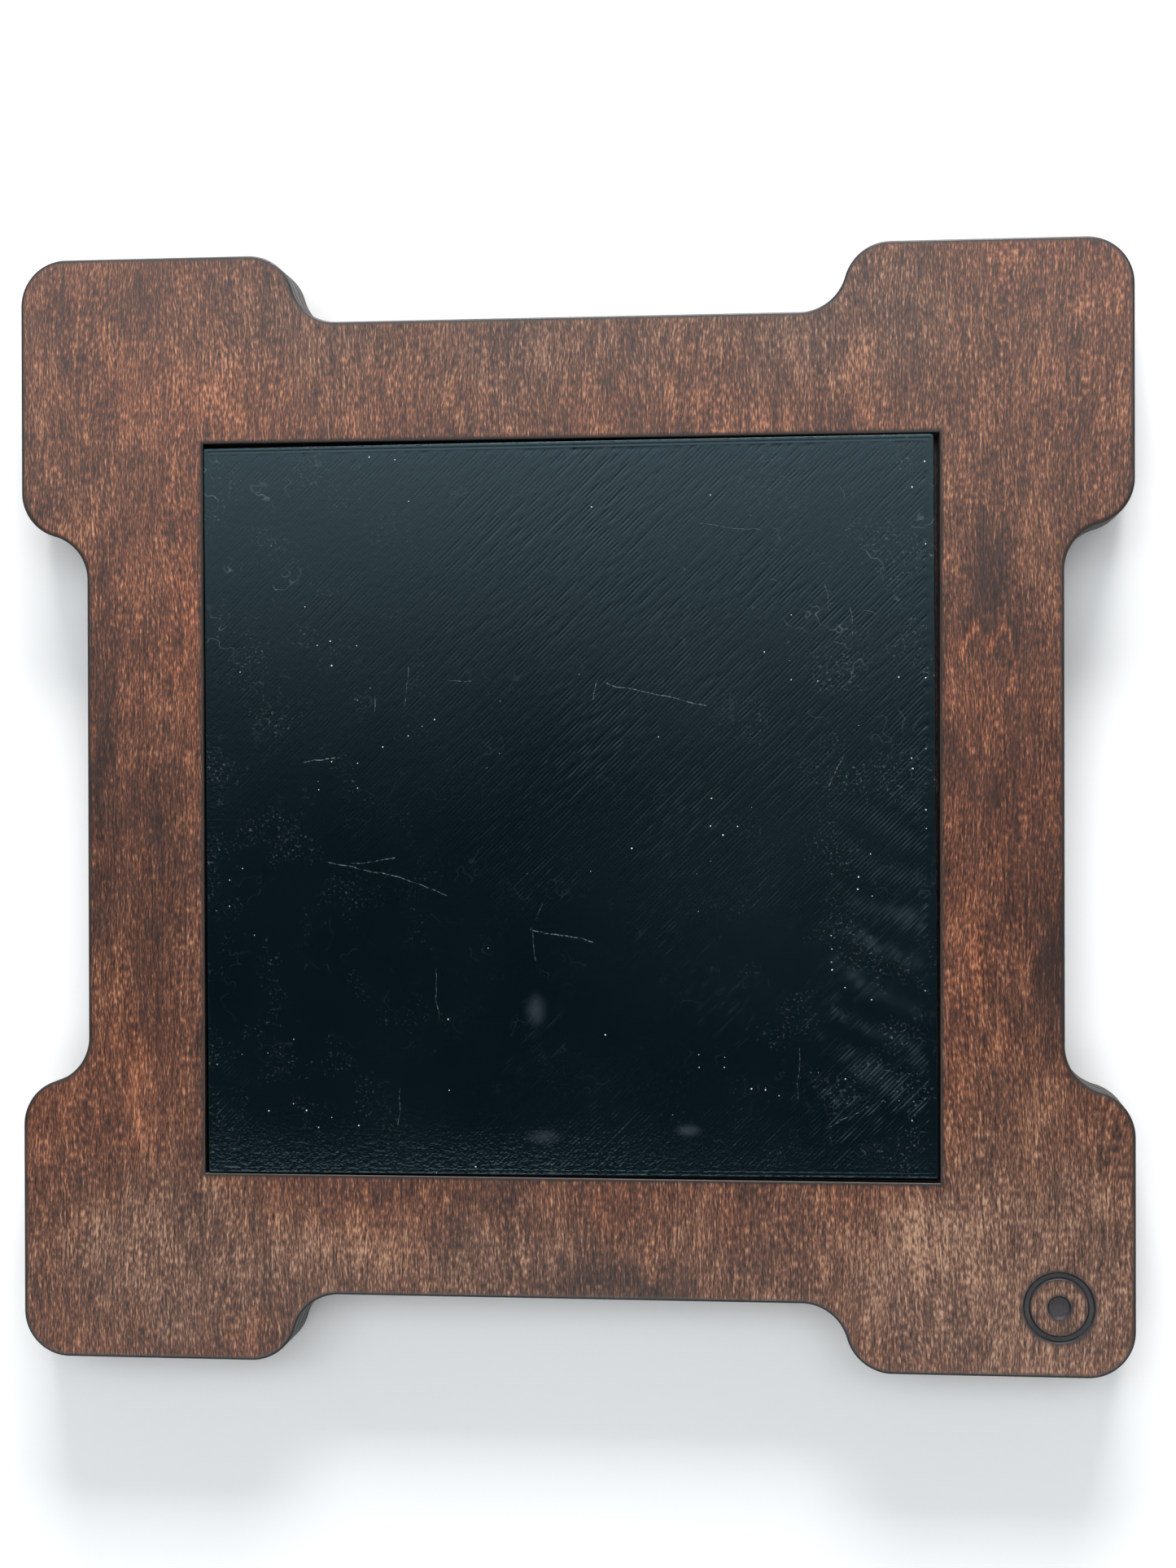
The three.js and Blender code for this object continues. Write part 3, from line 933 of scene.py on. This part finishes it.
def add_infill(builder, half, top):
    """Beads at 45 degrees over a square. Returns the vertices on its border, anticlockwise."""
    generator = random.Random(BEAD_SEED)
    count = int(half * math.sqrt(2) / (BEAD / SAMPLES_PER_BEAD))
    lines = range(-count, count + 1)
    beads = sorted({line // SAMPLES_PER_BEAD for line in lines})
    levels = {bead: generator.uniform(0.0, BEAD_SPREAD) for bead in beads}
    rows = []
    border = []
    for line in lines:
        places, points = bead_row(line, half, top, levels[line // SAMPLES_PER_BEAD])
        numbers = builder.ring(points)
        rows.append((numbers, places))
        border += [numbers[0], numbers[-1]]
    for (low, low_places), (high, high_places) in zip(rows, rows[1:]):
        builder.zip_rows(low, high, low_places, high_places)

    # beyond the first and the last line, the square's other two corners
    near_corner, far_corner = builder.ring(
        [(half, -half, top - BEAD_RELIEF), (-half, half, top - BEAD_RELIEF)]
    )
    border += [near_corner, far_corner]
    first_row, last_row = rows[0][0], rows[-1][0]
    for a, b in zip(first_row, first_row[1:]):
        builder.face((b, a, near_corner))
    for a, b in zip(last_row, last_row[1:]):
        builder.face((a, b, far_corner))
    return sorted(border, key=lambda n: angle_round(builder.vertices[n]))


def add_edge_beads(builder, inner, half, top):
    """Two beads that run round the face's border. Returns the outermost ring."""
    places = [builder.vertices[n] for n in inner]
    previous = inner
    for k in range(1, EDGE_BEADS * SAMPLES_PER_BEAD + 1):
        share = bead_profile(k / SAMPLES_PER_BEAD % 1.0)
        scale = 1 + k / SAMPLES_PER_BEAD * BEAD / half
        points = []
        for x, y, _ in places:
            depth = BEAD_RELIEF * (0.6 + 0.4 * relief_strength(x, y))
            points.append((x * scale, y * scale, top - depth * (1 - share) - sag(x, y)))
        ring = builder.ring(points)
        builder.band(ring, previous)
        previous = ring
    return previous


def add_panel_sides(builder, inner, top):
    """The rounded upper edge and the sides with their layer lines. Returns the lowest ring."""

    def ring(inset, radius, z):
        outline = rounded_square(PANEL_HALF - inset, radius, corner_steps=6, side_steps=24)
        outline.sort(key=angle_round)
        return builder.ring(at_height(outline, z))

    rings = [ring(inset, radius, top - down) for inset, radius, down in UPPER_EDGE]
    builder.zip_rings(rings[0], inner)
    for layer in range(round(top / LAYER) - 1, 0, -1):
        rings.append(ring(LAYER_BULGE, PANEL_CORNER, layer * LAYER + LAYER_CREST))
        rings.append(ring(0.0, PANEL_CORNER, (layer - 0.5) * LAYER))
    rings.append(ring(BASE_CHAMFER, PANEL_CORNER, 0.0))
    for upper, lower in zip(rings, rings[1:]):
        builder.band(lower, upper)
    return rings[-1]


def add_pocket(builder, cell, centre, half):
    """A pocket in the panel's back. cell is the four corners of the flat area round its mouth."""
    outline = rounded_square(half - POCKET_CLEARANCE, POCKET_CORNER, corner_steps=4, side_steps=1)
    outline = [(x + centre[0], y + centre[1]) for x, y in outline]
    mouth = builder.ring(at_height(outline, PANEL_RIB_LEVEL))
    roof = builder.ring(at_height(outline, PANEL_POCKET_LEVEL))
    builder.cap([cell, mouth], upward=False)
    builder.band(roof, mouth)
    builder.cap([roof], upward=False)


def add_panel_back(builder, lowest):
    """The rim, then the level of the ribs, then the pockets between the ribs."""
    cavity = PANEL_HALF - PANEL_RIM
    pocket = (2 * cavity - (PANEL_CELLS - 1) * PANEL_RIB) / PANEL_CELLS
    step = pocket + PANEL_RIB
    middle = (PANEL_CELLS - 1) / 2
    lines = [-cavity, *((k - middle - 0.5) * step for k in range(1, PANEL_CELLS)), cavity]
    side = [(cavity, y) for y in lines[:-1]]
    around = [
        (x * cosine - y * sine, x * sine + y * cosine)
        for cosine, sine in ((1, 0), (0, 1), (-1, 0), (0, -1))
        for x, y in side
    ]
    around.sort(key=angle_round)
    rim_inner = builder.ring(at_height(around, 0.0))
    rib_edge = builder.ring(at_height(around, PANEL_RIB_LEVEL))
    builder.zip_rings(rim_inner, lowest)
    builder.band(rib_edge, rim_inner)

    # neighbouring cells share their corners, and the outer ones lie on the rim
    corners = {(round(x, 6), round(y, 6)): number for (x, y), number in zip(around, rib_edge)}

    def corner(x, y):
        key = (round(x, 6), round(y, 6))
        if key not in corners:
            corners[key] = builder.ring([(x, y, PANEL_RIB_LEVEL)])[0]
        return corners[key]

    for row in range(PANEL_CELLS):
        for column in range(PANEL_CELLS):
            x0, x1 = lines[column], lines[column + 1]
            y0, y1 = lines[row], lines[row + 1]
            cell = [corner(x0, y0), corner(x1, y0), corner(x1, y1), corner(x0, y1)]
            centre = ((column - middle) * step, (row - middle) * step)
            add_pocket(builder, cell, centre, pocket / 2)


def printed_panel(material):
    """Built level and centred, then laid in the opening as the real one lies: a little turned."""
    builder = Builder()
    low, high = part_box("printed_panel")
    top = (high.z - low.z) / MM
    half = PANEL_HALF - PANEL_EDGE - EDGE_BEADS * BEAD
    border = add_infill(builder, half, top)
    outermost = add_edge_beads(builder, border, half, top)
    lowest = add_panel_sides(builder, outermost, top)
    add_panel_back(builder, lowest)

    cosine, sine = math.cos(PANEL_TURN), math.sin(PANEL_TURN)
    builder.vertices = [
        (x * cosine - y * sine + PANEL_SHIFT_X, x * sine + y * cosine, z + low.z / MM)
        for x, y, z in builder.vertices
    ]
    piece = builder.make("printed_panel_beads", [material], 50)
    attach(piece, "panel")
    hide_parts("printed_panel")
    return piece


# ---- Feet -----------------------------------------------------------------------------------


def rubber_foot(node, material):
    """A stick-on bumper: a moulded body with a rounded lower edge, under a thin adhesive disc."""
    low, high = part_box(node)
    centre = ((low.x + high.x) / 2 / MM, (low.y + high.y) / 2 / MM)
    radius = (high.x - low.x) / 2 / MM
    height = high.z / MM
    profile = [(radius - inwards, up) for inwards, up in FOOT_SOLE]
    edge_centre = radius - FOOT_BULGE - FOOT_EDGE
    for k in range(FOOT_EDGE_STEPS + 1):
        angle = k / FOOT_EDGE_STEPS * QUARTER
        profile.append((edge_centre + FOOT_EDGE * math.sin(angle), FOOT_EDGE * (1 - math.cos(angle))))
    profile += [(radius - inwards, height - down) for inwards, down in FOOT_NECK]

    builder = Builder()
    rings = [builder.ring(at_height(circle(centre, r, FOOT_STEPS), z)) for r, z in profile]
    builder.cap([rings[0]], upward=False)
    for lower, upper in zip(rings, rings[1:]):
        builder.band(lower, upper)
    builder.cap([rings[-1]], upward=True)
    piece = builder.make(node + "_moulded", [material], 35)
    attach(piece, "frame")
    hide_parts(node)
    return piece


# ---- Studio ---------------------------------------------------------------------------------


def pale_floor():
    """The plain surface that the board stands on."""
    material, s = new_material("pale_floor")
    speck = s.noise(s.position(), (60, 60, 0), 2.0, 0.5)
    s.finish(s.blend(speck, (0.92, 0.92, 0.92, 1), (0.94, 0.94, 0.94, 1)), 0.95)
    mesh = bpy.data.meshes.new("floor")
    mesh.from_pydata(at_height(square(FLOOR_REACH), 0.0), [], [(0, 1, 2, 3)])
    mesh.materials.append(material)
    floor = bpy.data.objects.new("floor", mesh)
    bpy.context.scene.collection.objects.link(floor)


def ceilings_and_walls():
    """World light: two large soft ceilings with a dark gap between them, and pale walls."""
    world = bpy.data.worlds.new("studio")
    bpy.context.scene.world = world
    world.use_nodes = True
    w = Shader(world.node_tree)
    x, y, z = w.parts(w.node("TexCoord", {}, "Generated"))
    lean = w.math("DIVIDE", y, w.math("MAXIMUM", z, 0.05))
    across = w.math("DIVIDE", x, w.math("MAXIMUM", z, 0.05))
    inside = w.times(w.ease(across, -1.1, -0.5), w.ease(across, 0.9, 0.35))
    far = w.times(w.ease(lean, -0.02, 0.26), w.ease(lean, 0.35, 0.9, FAR_CEILING, 0.0), inside)
    near = w.times(w.ease(lean, -0.21, -0.30), w.ease(lean, -0.35, -0.9, NEAR_CEILING, 0.0), inside)
    walls = w.add(w.times(w.ease(z, 0.85, 0.35), WALLS), w.times(w.ease(z, 0.20, 0.0), HORIZON))
    level = w.math("MAXIMUM", w.math("MAXIMUM", far, near), walls)
    background = w.tree.nodes.new("ShaderNodeBackground")
    w.put(background.inputs["Color"], STUDIO_COLOUR)
    w.put(background.inputs["Strength"], w.add(level, DARKEST))
    out = w.tree.nodes.new("ShaderNodeOutputWorld")
    w.put(out.inputs[0], background.outputs[0])


def window_light():
    """A soft box low on the far side: it lights the edges and throws the shadow towards the viewer."""
    data = bpy.data.lights.new("window", "AREA")
    data.shape = "RECTANGLE"
    data.size, data.size_y = WINDOW_SIZE
    data.energy = WINDOW_RADIANCE * math.pi * data.size * data.size_y
    made = bpy.data.objects.new("window", data)
    made.location = WINDOW_PLACE
    made.rotation_euler = (-made.location).to_track_quat("-Z", "Y").to_euler()
    bpy.context.scene.collection.objects.link(made)


def camera():
    """Looks almost straight down on the board."""
    data = bpy.data.cameras.new("camera")
    data.lens = CAMERA_LENS
    data.sensor_width = CAMERA_SENSOR
    data.clip_start = 0.01
    data.clip_end = 50.0
    made = bpy.data.objects.new("camera", data)
    x, y, height = CAMERA_PLACE
    made.location = (x * MM, y * MM, (height + TOP_Z) * MM)
    made.rotation_euler = [math.radians(angle) for angle in CAMERA_ANGLES]
    bpy.context.scene.collection.objects.link(made)
    bpy.context.scene.camera = made


# ---- The scene ------------------------------------------------------------------------------

camera()
pale_floor()
ceilings_and_walls()
window_light()
plywood_frame()
printed_panel(printed_plastic())
rubber = foot_rubber()
for node_name in [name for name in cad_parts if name.startswith("rubber_foot")]:
    rubber_foot(node_name, rubber)
bpy.context.scene.view_settings.view_transform = "Standard"
